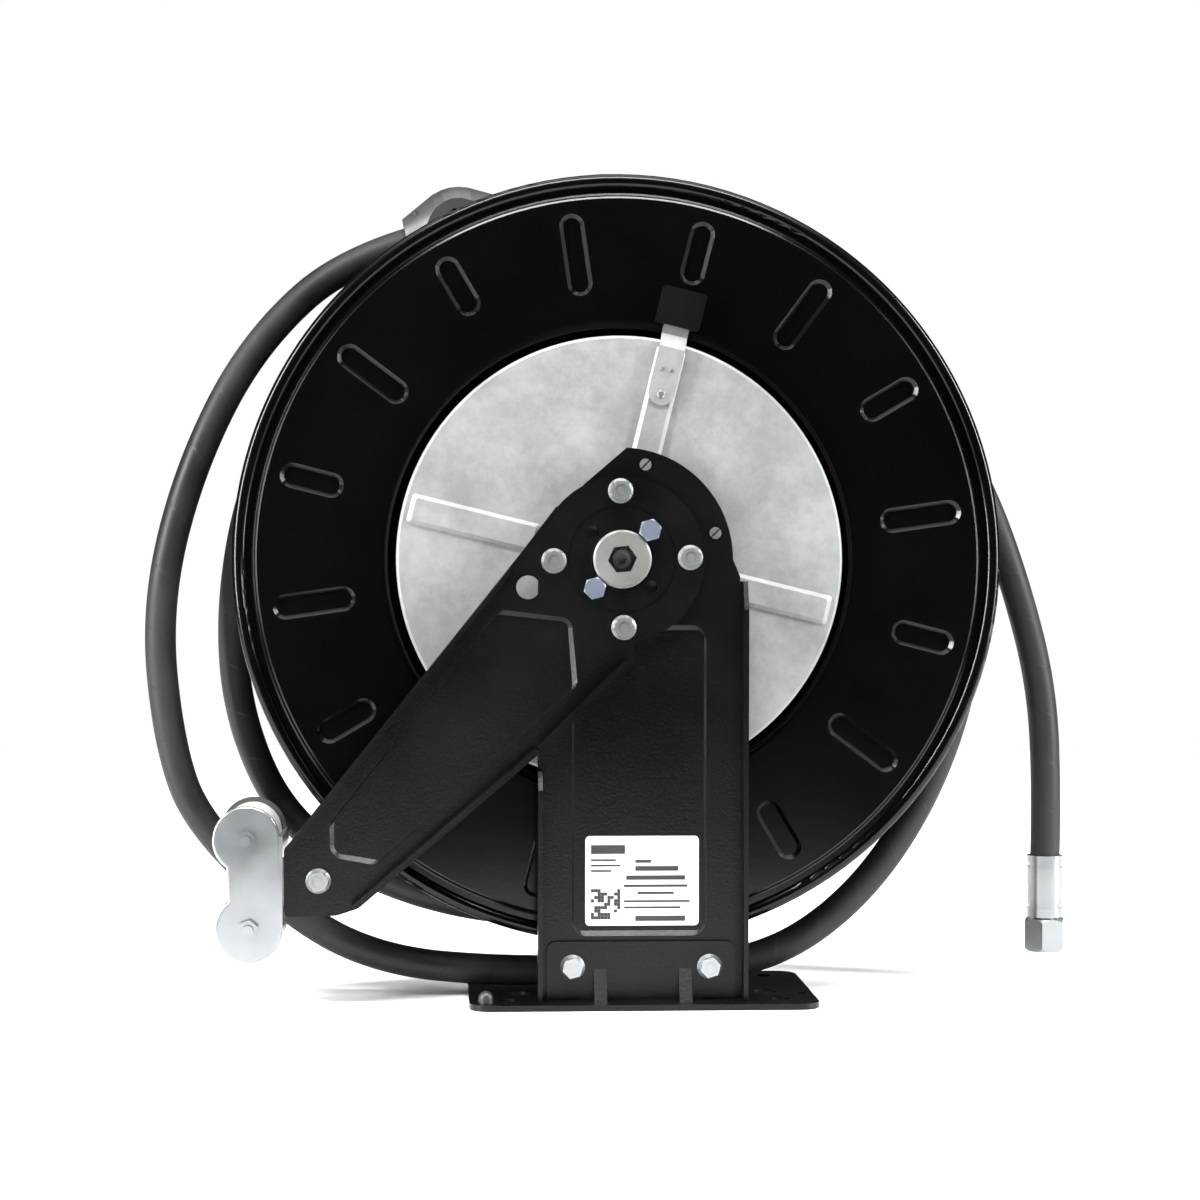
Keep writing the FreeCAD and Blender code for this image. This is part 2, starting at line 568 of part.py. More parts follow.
def flange(face, way):
    """A pressed flange: way is +1 for the front one and -1 for the rear one."""
    t = FLANGE_SHEET

    def p(radius, depth):
        return radius, face + way * depth

    section = [p(LIP_R - t, LIP_L), p(LIP_R - t, 3.6), p(LIP_R - t + 0.5, 1.8), p(LIP_R + 0.8, 0.5),
               p(LIP_R + 2.6, 0), p(STEP_R - 1.0, 0), p(STEP_R, 0.5), p(STEP_R + 0.6, 1.4),
               p(STEP_R + 1.2, STEP_D - 0.4), p(STEP_R + 2.2, STEP_D), p(FLANGE_R - BEAD_R, STEP_D),
               p(FLANGE_R - BEAD_R, STEP_D + t), p(STEP_R + 1.4, STEP_D + t),
               p(STEP_R - 0.2, STEP_D + 0.6), p(STEP_R - 1.4, t), p(LIP_R + 2.8, t),
               p(LIP_R + 0.9, 2.2), p(LIP_R, 3.8), p(LIP_R, LIP_L)]
    sheet = spun(section)
    bead = Part.makeTorus(FLANGE_R - BEAD_R, BEAD_R, at(0, face + way * (STEP_D + 0.9), 0), V(0, 1, 0))
    pockets, bosses = pressed_slots(face, way)
    body = sheet.fuse(bead)
    body = body.multiFuse(bosses)
    return body.cut(Part.makeCompound(pockets))


def front_flange():
    return flange(DRUM_FRONT, 1)


def rear_flange():
    return flange(DRUM_REAR, -1)


FEED_ANGLE = 235.0          # where the feed pipe runs out to the hose's inner end
FEED_Y = 38.5


def drum_core():
    wall = tube(CORE_R, LIP_R + 0.1, SPACE_FRONT + 3.4, SPACE_REAR - 3.4)
    hole = Part.makeCylinder(9.0, 20, at(*mix(CORE_R - 10, FEED_ANGLE, FEED_Y)), outward(FEED_ANGLE))
    return wall.cut(hole)


def mix(radius, angle, y):
    x, z = polar(radius, angle)
    return x, y, z


def outward(angle):
    x, z = polar(1.0, angle)
    return V(x, 0, z)


def cover_disc():
    """The lid of the spring case, with four pressed ribs and a folded rim."""
    rim = spun([(27.0, COVER_Y), (COVER_R - 1.5, COVER_Y), (COVER_R - 0.4, COVER_Y + 0.5),
                (COVER_R, COVER_Y + 1.6), (COVER_R, COVER_Y + COVER_RIM),
                (COVER_R - COVER_T, COVER_Y + COVER_RIM), (COVER_R - COVER_T, COVER_Y + COVER_T),
                (27.0, COVER_Y + COVER_T)])
    floor = spun([(15.6, COVER_Y), (27.5, COVER_Y), (27.5, COVER_Y + COVER_T), (15.6, COVER_Y + COVER_T)])
    raised = []
    for k in range(4):
        half = RIB_W / 2
        ridge = [(47, -half, 2), (47, half, 2), (120, half, 2), (120, -half, 2)]
        top = [(49.5, 2.2 - half, 1.5), (49.5, half - 2.2, 1.5), (117.5, half - 2.2, 1.5),
               (117.5, 2.2 - half, 1.5)]
        rise = Part.makeLoft([outline(ridge, COVER_Y + 0.01), outline(top, COVER_Y - RIB_H)], True)
        raised.append(turned(rise, RIB_FIRST + 90 * k))
    return merged([rim, floor] + raised)


def spring_case():
    """The cup that holds the power spring."""
    return spun([(15.6, CASE_REAR), (CASE_R, CASE_REAR), (CASE_R, COVER_Y + COVER_T),
                 (CASE_R - 1.2, COVER_Y + COVER_T), (CASE_R - 1.2, CASE_REAR - 1.2),
                 (15.6, CASE_REAR - 1.2)])


def power_spring():
    """A flat spiral of strip, drawn as half turns about two centres."""
    thick, first, turns = 1.2, ARBOR_R + 2.0, 14
    last = CASE_R - 4.0
    step = (last - first) / (2 * turns)
    sides = []
    for offset in (0.0, thick):
        edges = []
        radius, centre, way = first + offset, 0.0, 1
        for k in range(2 * turns):
            ends = [V(centre + radius * way, 0, 0), V(centre, 0, radius * way), V(centre - radius * way, 0, 0)]
            edges.append(Part.Arc(*ends).toShape())
            centre += step * way
            radius += step
            way = -way
        sides.append(edges)
    inner, outer = sides
    caps = [Part.LineSegment(inner[0].Vertexes[0].Point, outer[0].Vertexes[0].Point).toShape(),
            Part.LineSegment(inner[-1].Vertexes[-1].Point, outer[-1].Vertexes[-1].Point).toShape()]
    wire = Part.Wire(Part.__sortEdges__(inner + outer + caps))
    wire.translate(at(0, -22, 0))
    return Part.Face(wire).extrude(V(0, 34, 0))


def retaining_strip():
    """The galvanised strip on the cover's top rib that reaches out over the flange."""
    t, y = 1.5, COVER_Y - RIB_H
    low_y = DRUM_FRONT - 2.5
    line = [(88, y), (121, y), (129.5, low_y), (150, low_y), (150, low_y - t), (128.7, low_y - t),
            (120.4, y - t), (88, y - t)]
    points = [at(r, yy, 0) for r, yy in line]
    body = Part.Face(Part.makePolygon(points + points[:1])).extrude(V(0, 0, 14.5))
    body.translate(V(0, 0, -7.25))
    corner = slab([(87, -9), (95.3, -9), (95.3, 9), (87, 9)], y - 5, y + 2)
    corner = corner.cut(rod(7.25, y - 6, y + 3, 95.25, 0))
    return turned(body.cut(corner), RIB_FIRST)


def strip_pad():
    """The rubber pad on the strip's end."""
    low_y = DRUM_FRONT - 2.5
    block = slab([(133, -12.5, 2), (133, 12.5, 2), (154, 12.5, 2), (154, -12.5, 2)],
                 DRUM_FRONT - 7.5, DRUM_FRONT)
    pocket = slab([(132, -7.3), (150.1, -7.3), (150.1, 7.3), (132, 7.3)], low_y - 1.55, low_y + 0.05)
    return turned(block.cut(pocket), RIB_FIRST)


def strip_rivets():
    y = COVER_Y - RIB_H
    rivets = []
    for x, z, r in ((94, 0, 2.4), (108, -2.6, 1.3), (108, 2.6, 1.3)):
        cap = Part.makeCone(r, r * 0.6, 0.9, at(x, y - 1.5, z), V(0, -1, 0))
        rivets.append(turned(cap, RIB_FIRST))
    return group(rivets)


def ratchet_wheel():
    points = []
    pitch = 360.0 / RATCHET_N
    for k in range(RATCHET_N):
        gap = PAWL_ANGLE + pitch * k
        for radius, turn in ((RATCHET_ROOT, -6.5), (RATCHET_ROOT, 6.5), (RATCHET_R, 12.0),
                             (RATCHET_R, pitch - 12.0)):
            points.append(polar(radius, gap + turn))
    wheel = slab(points, PAWL_Y0 - 0.1, COVER_Y)
    return wheel.cut(rod(15.1, PAWL_Y0 - 2, COVER_Y + 1))


def ratchet_rivets():
    return group([rod(2.5, COVER_Y + COVER_T, COVER_Y + COVER_T + 1.4, *polar(30, 45 + 90 * k))
                  for k in range(4)])


def bush(y0, y1, outer):
    return tube(outer, AXLE_R + RUN_GAP, y0, y1)


def bush_front():
    return bush(PAWL_Y0 - 0.1, COVER_Y + COVER_T, 15.0)


def bush_rear():
    return bush(15.0, 47.0, 15.5)


def drum_web():
    """The disc inside the core that carries the hub."""
    return spun([(20.2, WEB_Y), (LIP_R - 0.1, WEB_Y), (LIP_R - 0.1, WEB_Y + 12),
                 (LIP_R - 2.5, WEB_Y + 12), (LIP_R - 2.5, WEB_Y + 2.5), (20.2, WEB_Y + 2.5)])


HUB_BOLT_R = 34.0


def drum_hub():
    y = WEB_Y + 2.5
    body = spun([(15.6, WEB_Y), (20.0, WEB_Y), (20.0, y), (44.0, y), (44.0, y + 5), (24.0, y + 5),
                 (20.0, y + 9), (20.0, 47.0), (15.6, 47.0)])
    holes = [rod(M6_HOLE_R, y - 1, y + 6, *polar(HUB_BOLT_R, 30 + 60 * k)) for k in range(6)]
    return body.cut(Part.makeCompound(holes))


def hub_bolts():
    y = WEB_Y + 7.5
    bolts = []
    for k in range(6):
        x, z = polar(HUB_BOLT_R, 30 + 60 * k)
        head = hexagon(M6_AF, y, y + 4.0, x, z, 60 * k)
        bolts.append(head.fuse(rod(M6_R, y - 5, y + 1, x, z)))
    return group(bolts)


def swivel_body():
    """The rotary joint's housing, turning on the axle's rear end."""
    body = spun([(AXLE_R + RUN_GAP, 47.4), (24.0, 47.4), (24.0, 50.0), (22.0, 52.0), (22.0, 64.0),
                 (24.0, 66.0), (24.0, 70.0), (22.5, 72.4), (AXLE_R + RUN_GAP, 72.4)])
    for y in (51.0, 65.0):
        body = body.cut(tube(AXLE_R + 3.5, AXLE_R - 1, y - 2.0, y + 2.0))
    body = body.cut(tube(AXLE_R + 2.5, AXLE_R - 1, 55.5, 60.5))
    boss = Part.makeCylinder(10.0, 10, at(*mix(20, FEED_ANGLE, 58)), outward(FEED_ANGLE))
    port = Part.makeCylinder(4.0, 24, at(*mix(AXLE_R + 1, FEED_ANGLE, 58)), outward(FEED_ANGLE))
    return body.fuse(boss).cut(port)


def swivel_seals():
    return group([tube(AXLE_R + 3.4, AXLE_R + RUN_GAP, y - 1.9, y + 1.9) for y in (51.0, 65.0)])


def feed_pipe():
    """The pipe from the swivel to the hose's inner end, with its union nut."""
    nut_from = at(*mix(30.1, FEED_ANGLE, 58))
    ways = [at(*mix(44, FEED_ANGLE, 58)), at(*mix(86, FEED_ANGLE, 58)), at(*mix(112, FEED_ANGLE, FEED_Y)),
            at(*mix(126, FEED_ANGLE, FEED_Y))]
    out = outward(FEED_ANGLE)
    pieces = [Part.makeCylinder(9.5, 12, nut_from, out)]
    for a, b in zip([nut_from] + ways[1:-1], ways[1:]):
        pieces.append(Part.makeCylinder(6.0, (b - a).Length, a, b - a))
    for p in ways[1:-1]:
        pieces.append(Part.makeSphere(6.0, p))
    return merged(pieces)


def inner_fitting():
    """The fitting in the core's wall that the hose's inner end is screwed to."""
    out = outward(FEED_ANGLE)
    return merged([Part.makeCylinder(8.5, 13, at(*mix(126.1, FEED_ANGLE, FEED_Y)), out)])


def hose_coil():
    """The outer shape of the wound hose: three layers, with one turn of the last one missing."""
    inner = CORE_R + 0.3
    two = inner + 2 * HOSE_R + COIL_LAYER
    three = two + COIL_LAYER
    y0 = SPACE_FRONT + SLOT_DEPTH + COIL_SIDE
    y1 = SPACE_REAR - SLOT_DEPTH - COIL_SIDE
    gap = 2.3
    return spun([(inner, y0), (two, y0), (two, gap), (three, gap), (three, y1), (inner, y1)])


# ---- free hose ----------------------------------------------------------------------------
def around(angle, radius, y):
    x, z = polar(radius, angle)
    return x, y, z


ROUTE = [
    around(-15, 178.5, -7), around(-38, 181.0, -7), around(-62, 185.0, -7), around(-86, 196.0, -5),
    around(-108, 210, 4.5), around(-126, 227, 19), around(-141, 240, 30), around(-156, 234, 35),
    around(-172, 222, 34), around(168, 211, 24), around(146, 203, 9), around(123, 198.6, -5),
    around(100, 198.0, -7), around(76, 198.0, -7), around(52, 198.0, -7), around(28, 199.5, -6),
    around(5, 203.5, -1), around(-17, 210, 3), around(-37, 223, 6), around(-55, 238, 8),
    (81, 8, -230.5), (4, 6, -233.0), (-72, 4, -232.4), (-130, 2, -226.0), (-177, 0, -203.5),
    (-235, -1, -148.5), (-251, 0, -103.5), (-258.6, 3, -28.5), (-241.2, 8, 48.5),
    (-205.8, 16, 121.5), (-149, 26.6, 174.9), (-30, 26.6, 201.2), (35, 33, 200.5), (92, 39, 178.5),
    (141, 41, 144), (181, 42, 98), (214, 42, 45), (236, 43, -13), (252.5, 45, -75),
    (255.5, 46, -140), (254.6, 46, -172.5),
]


def rounded_path(points):
    """Straight runs joined by tangent arcs, with each arc as large as its two runs allow."""
    edges, radii = [], []
    last = points[0]
    for back, here, on in zip(points, points[1:], points[2:]):
        before, after = here - back, on - here
        half = before.getAngle(after) / 2
        reach = 0.45 * min(before.Length, after.Length)
        radius = reach / math.tan(half)
        start = here - before.normalize() * reach
        end = here + after.normalize() * reach
        inward = (start + end) * 0.5 - here
        middle = here + inward.normalize() * (radius / math.cos(half) - radius)
        edges.append(Part.LineSegment(last, start).toShape())
        edges.append(Part.Arc(start, middle, end).toShape())
        radii.append(round(radius))
        last = end
    edges.append(Part.LineSegment(last, points[-1]).toShape())
    return Part.Wire(edges), radii


def free_hose():
    points = [at(*p) for p in ROUTE]
    path, radii = rounded_path(points)
    section = Part.Wire(Part.Circle(points[0], points[1] - points[0], HOSE_R).toShape())
    hose = path.makePipeShell([section], True, False)
    print("free hose", round(path.Length), "mm, volume / (section x length)",
          round(hose.Volume / (math.pi * HOSE_R ** 2 * path.Length), 4))
    print("bend radii", sorted(radii)[:8])
    return hose


STOP_FROM, STOP_TO = ROUTE[30], ROUTE[31]


STOP_SCREWS = [(u, v) for u in (-22.0, 22.0) for v in (-12.6, 12.6)]


def stop_axes():
    """The stop's middle, the hose's direction in it, depth and the way across both."""
    a, b = at(*STOP_FROM), at(*STOP_TO)
    way = (b - a).normalize()
    across = V(0, 1, 0)
    return (a + b) * 0.5, way, across, way.cross(across)


def stop_ring(profile):
    """A ring about the hose in the stop, from (along, radius) points."""
    middle, way, across, up = stop_axes()
    points = [middle + way * u + up * r for u, r in profile]
    return Part.Face(Part.makePolygon(points + points[:1])).revolve(middle, way, 360)


def stop_slice(low, high):
    """Everything about the stop between two depths."""
    size = 4 * STOP_HALF
    block = Part.makeBox(size, high - low, size, V(-size / 2, low, -size / 2))
    block.translate(stop_axes()[0])
    return block


def stop_half(side):
    """One half of the hose stop, clamped on the hose: side is -1 in front and +1 behind."""
    ball = stop_ring([(-STOP_HALF, HOSE_R), (-STOP_HALF, STOP_END_R), (-10.5, 22.4), (-5.0, 24.0),
                      (0.0, STOP_R), (5.0, 24.0), (10.5, 22.4), (STOP_HALF, STOP_END_R),
                      (STOP_HALF, HOSE_R)])
    pocket = stop_ring([(-16, 11.8), (-16, 15.5), (-8.5, 19.3), (0, 21.3), (8.5, 19.3), (16, 15.5),
                        (16, 11.8)])
    near, far = sorted((side * 3.0, side * 30.0))
    low, high = sorted((side * 0.1, side * 18.5))
    half = ball.common(stop_slice(low, high)).cut(pocket.common(stop_slice(near, far)))
    middle, way, across, up = stop_axes()
    for u, v in STOP_SCREWS:
        half = half.cut(Part.makeCylinder(1.7, 80, middle + way * u + up * v - across * 40, across))
    return half


def hose_stop_front():
    return stop_half(-1)


def hose_stop_rear():
    return stop_half(1)


def hose_stop_screws():
    middle, way, across, up = stop_axes()
    return group([Part.makeCylinder(1.6, 16, middle + way * u + up * v - across * 8, across)
                  for u, v in STOP_SCREWS])


# ---- hose end -----------------------------------------------------------------------------
END = ROUTE[-1]
FERRULE_R, FERRULE_L = 10.5, 36.0
STEM_R, STEM_BORE = 6.6, 3.8


def down(radius, top, length):
    """A cylinder on the hose end's axis, from top downwards."""
    return Part.makeCylinder(radius, length, at(END[0], END[1], top), V(0, 0, -1))


def hose_ferrule():
    top = END[2]
    body = merged([down(FERRULE_R - 0.6, top, FERRULE_L)] +
                  [down(FERRULE_R, top - z, depth) for z, depth in ((0.0, 4.0), (6.5, 21.5), (30.5, 5.5))])
    return body.cut(down(STEM_R + RUN_GAP, top + 1, FERRULE_L + 2))


def hose_stem():
    """The nipple inside the ferrule, with the collar and cone that seal in the nut."""
    top = END[2]
    cone_top = top - FERRULE_L - 15.0
    body = merged([down(STEM_R, top - 0.1, FERRULE_L + 4.5), down(8.6, top - FERRULE_L - 4.5, 2.5),
                   down(5.8, top - FERRULE_L - 6.0, 7.9),
                   Part.makeCone(7.0, 5.4, 3.0, at(END[0], END[1], cone_top + 4), V(0, 0, -1))])
    return body.cut(down(STEM_BORE, top + 1, 70))


def swivel_nut():
    top = END[2] - FERRULE_L - 1.0
    corners = [polar(NUT_AF / math.sqrt(3), 60 * k + 12) for k in range(6)]
    points = [at(END[0] + x, END[1] + y, top) for x, y in corners]
    body = Part.Face(Part.makePolygon(points + points[:1])).extrude(V(0, 0, -19.0))
    rim = Part.makeCone(11.0, 12.8, 2.2, at(END[0], END[1], top - 19.0), V(0, 0, 1))
    crown = Part.makeCone(12.8, 11.0, 2.2, at(END[0], END[1], top - 2.2), V(0, 0, 1))
    body = body.common(merged([rim, crown, down(12.8, top - 2.1, 14.8)]))
    cuts = [down(STEM_R + 0.3, top + 1, 5.0), down(8.9, top - 3.2, 4.0), down(7.9, top - 6.9, 6.3),
            down(7.5, top - 13.2, 10)]
    return body.cut(Part.makeCompound(cuts)).removeSplitter()


PARTS = {
    "base_plate": base_plate, "base_stud": base_stud, "pedestal": pedestal, "guide_arm": guide_arm, "head_spacer": head_spacer,
    "rating_label": rating_label, "base_bolts": base_bolts, "base_nuts": base_nuts,
    "head_bolts": head_bolts, "axle_bolts": axle_bolts, "axle": axle, "axle_collar": axle_collar,
    "axle_screw": axle_screw, "spring_arbor": spring_arbor, "circlip": circlip,
    "thrust_washer": thrust_washer, "pawl_pin": pawl_pin, "spring_pin": spring_pin, "pawl": pawl,
    "pawl_spring": pawl_spring, "guide_bracket": guide_bracket, "guide_axles": guide_axles,
    "guide_nuts": guide_nuts, "guide_bolt": guide_bolt, "guide_bolt_nut": guide_bolt_nut,
    "roller_upper": lambda: roller(*ROLLER_TOP), "roller_lower": lambda: roller(*ROLLER_LOW),
    "front_flange": front_flange, "rear_flange": rear_flange, "drum_core": drum_core,
    "cover_disc": cover_disc, "spring_case": spring_case, "power_spring": power_spring,
    "retaining_strip": retaining_strip, "strip_pad": strip_pad, "strip_rivets": strip_rivets,
    "ratchet_wheel": ratchet_wheel, "ratchet_rivets": ratchet_rivets, "bush_front": bush_front,
    "bush_rear": bush_rear, "drum_web": drum_web, "drum_hub": drum_hub, "hub_bolts": hub_bolts,
    "swivel_body": swivel_body, "swivel_seals": swivel_seals, "feed_pipe": feed_pipe,
    "inner_fitting": inner_fitting, "hose_coil": hose_coil, "free_hose": free_hose,
    "hose_stop_front": hose_stop_front, "hose_stop_rear": hose_stop_rear,
    "hose_stop_screws": hose_stop_screws, "hose_ferrule": hose_ferrule, "hose_stem": hose_stem,
    "swivel_nut": swivel_nut,
}

os.makedirs("parts", exist_ok=True)
for name, make in PARTS.items():
    shape = make()
    if not shape.isValid():
        print("not valid:", name)
    shape.exportStep("parts/" + name + ".step")
print(len(PARTS), "nodes written")
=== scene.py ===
import math
import random

import bmesh
import bpy
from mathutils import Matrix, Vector


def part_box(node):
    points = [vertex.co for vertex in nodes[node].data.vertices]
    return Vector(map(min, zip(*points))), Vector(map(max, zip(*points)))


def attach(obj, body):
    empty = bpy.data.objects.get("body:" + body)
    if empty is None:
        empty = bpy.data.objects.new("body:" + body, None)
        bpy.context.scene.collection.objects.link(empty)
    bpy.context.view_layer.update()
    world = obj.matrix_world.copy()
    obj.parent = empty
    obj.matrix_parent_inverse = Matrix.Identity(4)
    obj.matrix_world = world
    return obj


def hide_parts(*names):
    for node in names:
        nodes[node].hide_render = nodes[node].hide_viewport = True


# The reel as the CAD holds it. Metres, +Z up, the front towards -Y. The drum turns about HUB.
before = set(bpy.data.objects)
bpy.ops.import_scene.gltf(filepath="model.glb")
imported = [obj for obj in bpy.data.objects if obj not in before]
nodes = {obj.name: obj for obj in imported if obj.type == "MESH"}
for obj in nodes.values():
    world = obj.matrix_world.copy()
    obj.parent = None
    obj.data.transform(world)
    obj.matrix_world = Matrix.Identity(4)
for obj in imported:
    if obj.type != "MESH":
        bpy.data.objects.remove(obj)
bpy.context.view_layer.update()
axle_low, axle_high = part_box("axle")
HUB = Vector(((axle_low[0] + axle_high[0]) / 2, 0, (axle_low[2] + axle_high[2]) / 2))
random.seed(4)


# ---- camera -----------------------------------------------------------------------------
# Near the drum's axis, a little to the left of it and level with it.
camera_data = bpy.data.cameras.new("camera")
camera_data.lens = 84.73
camera_data.sensor_width = 36.0
camera = bpy.data.objects.new("camera", camera_data)
bpy.context.scene.collection.objects.link(camera)
camera.location = (-0.1128, -1.5907, 0.2395)
camera.rotation_euler = [math.radians(a) for a in (89.375, -0.097, -3.265)]
bpy.context.scene.camera = camera


# ---- hose -------------------------------------------------------------------------------
# A grease hose, 17 mm over its cover: black rubber cured under a wrap that leaves faint
# spiral lines. Three layers lie on the drum, and the rest runs loosely round it to the end.
HOSE_R = 0.0086
WRAP_PITCH = 0.032
FEED_ANGLE = 235.0
LAYER_1, LAYER_2, LAYER_3 = 0.1419, 0.1577, 0.1735
COLUMNS = (0.047, 0.029, 0.011, -0.007)
CROSSING = 50.0             # degrees in which a turn moves over to the next column
EXIT_ANGLE = -15.0          # where the hose leaves the drum, and each turn ends
OUTER_LAYER = 0.1785
TURN_STEPS, FIRST_TURN_STEPS = 18, 12


def around(angle, radius, y):
    """A point from its angle about the hub (from +X towards +Z), radius and depth."""
    a = math.radians(angle)
    return HUB.x + radius * math.cos(a), y, HUB.z + radius * math.sin(a)


def at(x, y, z):
    """A point from its offsets from the hub."""
    return HUB.x + x, y, HUB.z + z


def hose_line(name, points, resolution):
    """A round hose on one smooth open spline."""
    curve = bpy.data.curves.new(name, "CURVE")
    curve.dimensions = "3D"
    curve.bevel_depth = HOSE_R
    curve.bevel_resolution = 7
    curve.use_fill_caps = True
    curve.resolution_u = resolution
    spline = curve.splines.new("NURBS")
    spline.points.add(len(points) - 1)
    for point, place in zip(spline.points, points):
        point.co = (*place, 1.0)
    spline.order_u = 3
    spline.use_endpoint_u = True
    spline.use_smooth = True
    piece = bpy.data.objects.new(name, curve)
    bpy.context.scene.collection.objects.link(piece)
    return piece


def line_length(points, steps=24):
    """The length of the quadratic curve through those control points."""
    total = 0.0
    knots = [Vector(p) for p in points]
    middles = [knots[0]] + [(a + b) / 2 for a, b in zip(knots[1:-2], knots[2:-1])] + [knots[-1]]
    for start, corner, end in zip(middles, knots[1:-1], middles[1:]):
        last = start
        for k in range(1, steps + 1):
            t = k / steps
            here = start * (1 - t) ** 2 + corner * 2 * t * (1 - t) + end * t ** 2
            total += (here - last).length
            last = here
    return total


ROUTE = [
    around(-15, 0.1785, -0.007), around(-38, 0.181, -0.007), around(-62, 0.185, -0.007),
    around(-86, 0.196, -0.005), around(-108, 0.210, 0.0045), around(-126, 0.227, 0.019),
    around(-141, 0.240, 0.030), around(-156, 0.234, 0.035), around(-172, 0.222, 0.034),
    around(168, 0.211, 0.024), around(146, 0.203, 0.009), around(123, 0.1986, -0.005),
    around(100, 0.198, -0.007), around(76, 0.198, -0.007), around(52, 0.198, -0.007),
    around(28, 0.1995, -0.006), around(5, 0.2035, -0.001), around(-17, 0.210, 0.003),
    around(-37, 0.223, 0.006), around(-55, 0.238, 0.008),
    at(0.081, 0.008, -0.2305), at(0.004, 0.006, -0.233), at(-0.072, 0.004, -0.2324),
    at(-0.130, 0.002, -0.226), at(-0.177, 0, -0.2035), at(-0.235, -0.001, -0.1485),
    at(-0.251, 0, -0.1035), at(-0.2586, 0.003, -0.0285), at(-0.2412, 0.008, 0.0485),
    at(-0.2058, 0.016, 0.1215), at(-0.149, 0.0266, 0.1749), at(-0.030, 0.0266, 0.2012),
    at(0.035, 0.033, 0.2005), at(0.092, 0.039, 0.1785), at(0.141, 0.041, 0.144),
    at(0.181, 0.042, 0.098), at(0.214, 0.042, 0.045), at(0.236, 0.043, -0.013),
    at(0.2525, 0.045, -0.075), at(0.2555, 0.046, -0.140), at(0.2546, 0.046, -0.1725),
]

# Each turn on the drum keeps its column and then crosses to the next one, just before the exit.
turns = [(LAYER_1, y) for y in COLUMNS]
turns += [(LAYER_2, y + 0.009) for y in COLUMNS[:0:-1]]
turns += [(LAYER_3, y) for y in COLUMNS[:3]]
turns += [(OUTER_LAYER, COLUMNS[3])]
wound = []
for k, (radius, y) in enumerate(turns[:-1]):
    start = FEED_ANGLE if k == 0 else EXIT_ANGLE + 360.0
    steps = FIRST_TURN_STEPS if k == 0 else TURN_STEPS
    for j in range(steps):
        angle = start - (start - EXIT_ANGLE) * j / steps
        late = max(0.0, CROSSING - (angle - EXIT_ANGLE)) / CROSSING
        ease = late * late * (3 - 2 * late)
        next_radius, next_y = turns[k + 1]
        wound.append(around(angle, radius + (next_radius - radius) * ease, y + (next_y - y) * ease))
wound.append(ROUTE[0])

hose_wound = hose_line("hose_wound", wound, 6)
hose_free = hose_line("hose_free", ROUTE, 14)


def shader(name, colour, roughness, metallic=0.0):
    """A new material: its node tree and its Principled shader."""
    material = bpy.data.materials.new(name)
    material.use_nodes = True
    tree = material.node_tree
    surface = tree.nodes["Principled BSDF"]
    surface.inputs["Base Color"].default_value = (*colour, 1.0)
    surface.inputs["Roughness"].default_value = roughness
    surface.inputs["Metallic"].default_value = metallic
    return material, tree, surface


def node(tree, kind, **values):
    """Adds a node and sets its inputs by name, or its own settings where it has no such input."""
    made = tree.nodes.new(kind)
    for key, value in values.items():
        socket = key.replace("_", " ")
        if socket in made.inputs:
            made.inputs[socket].default_value = value
        else:
            setattr(made, key, value)
    return made


def place(tree, kind="Object"):
    """The coordinates that a pattern is laid out on."""
    return tree.nodes.new("ShaderNodeTexCoord").outputs[kind]


def noise(tree, scale, detail=3.0, roughness=0.55):
    """A noise pattern on the object's own coordinates."""
    made = node(tree, "ShaderNodeTexNoise", Scale=scale, Detail=detail, Roughness=roughness)
    tree.links.new(place(tree), made.inputs["Vector"])
    return made.outputs["Fac"]


def spread(tree, source, low, high, from_low=0.35, from_high=0.65):
    """Maps a pattern's values to the range low to high."""
    made = node(tree, "ShaderNodeMapRange")
    for socket, value in (("From Min", from_low), ("From Max", from_high),
                          ("To Min", low), ("To Max", high)):
        made.inputs[socket].default_value = value
    tree.links.new(source, made.inputs["Value"])
    return made.outputs["Result"]


def shades(tree, source, dark, light, low=0.35, high=0.65):
    """Colours a pattern from dark to light."""
    ramp = tree.nodes.new("ShaderNodeValToRGB")
    ramp.color_ramp.elements[0].position = low
    ramp.color_ramp.elements[0].color = (*dark, 1.0)
    ramp.color_ramp.elements[1].position = high
    ramp.color_ramp.elements[1].color = (*light, 1.0)
    tree.links.new(source, ramp.inputs["Fac"])
    return ramp.outputs["Color"]


def bumps(tree, surface, height, distance, strength):
    """Raises the surface by a pattern, on top of any bumps that it already has."""
    made = node(tree, "ShaderNodeBump", Distance=distance, Strength=strength)
    tree.links.new(height, made.inputs["Height"])
    if surface.inputs["Normal"].is_linked:
        tree.links.new(surface.inputs["Normal"].links[0].from_socket, made.inputs["Normal"])
    tree.links.new(made.outputs["Normal"], surface.inputs["Normal"])


def coat(name, material):
    """Gives a CAD node its material all over."""
    slots = nodes[name].material_slots
    for slot in slots:
        slot.material = material
    if not slots:
        nodes[name].data.materials.append(material)


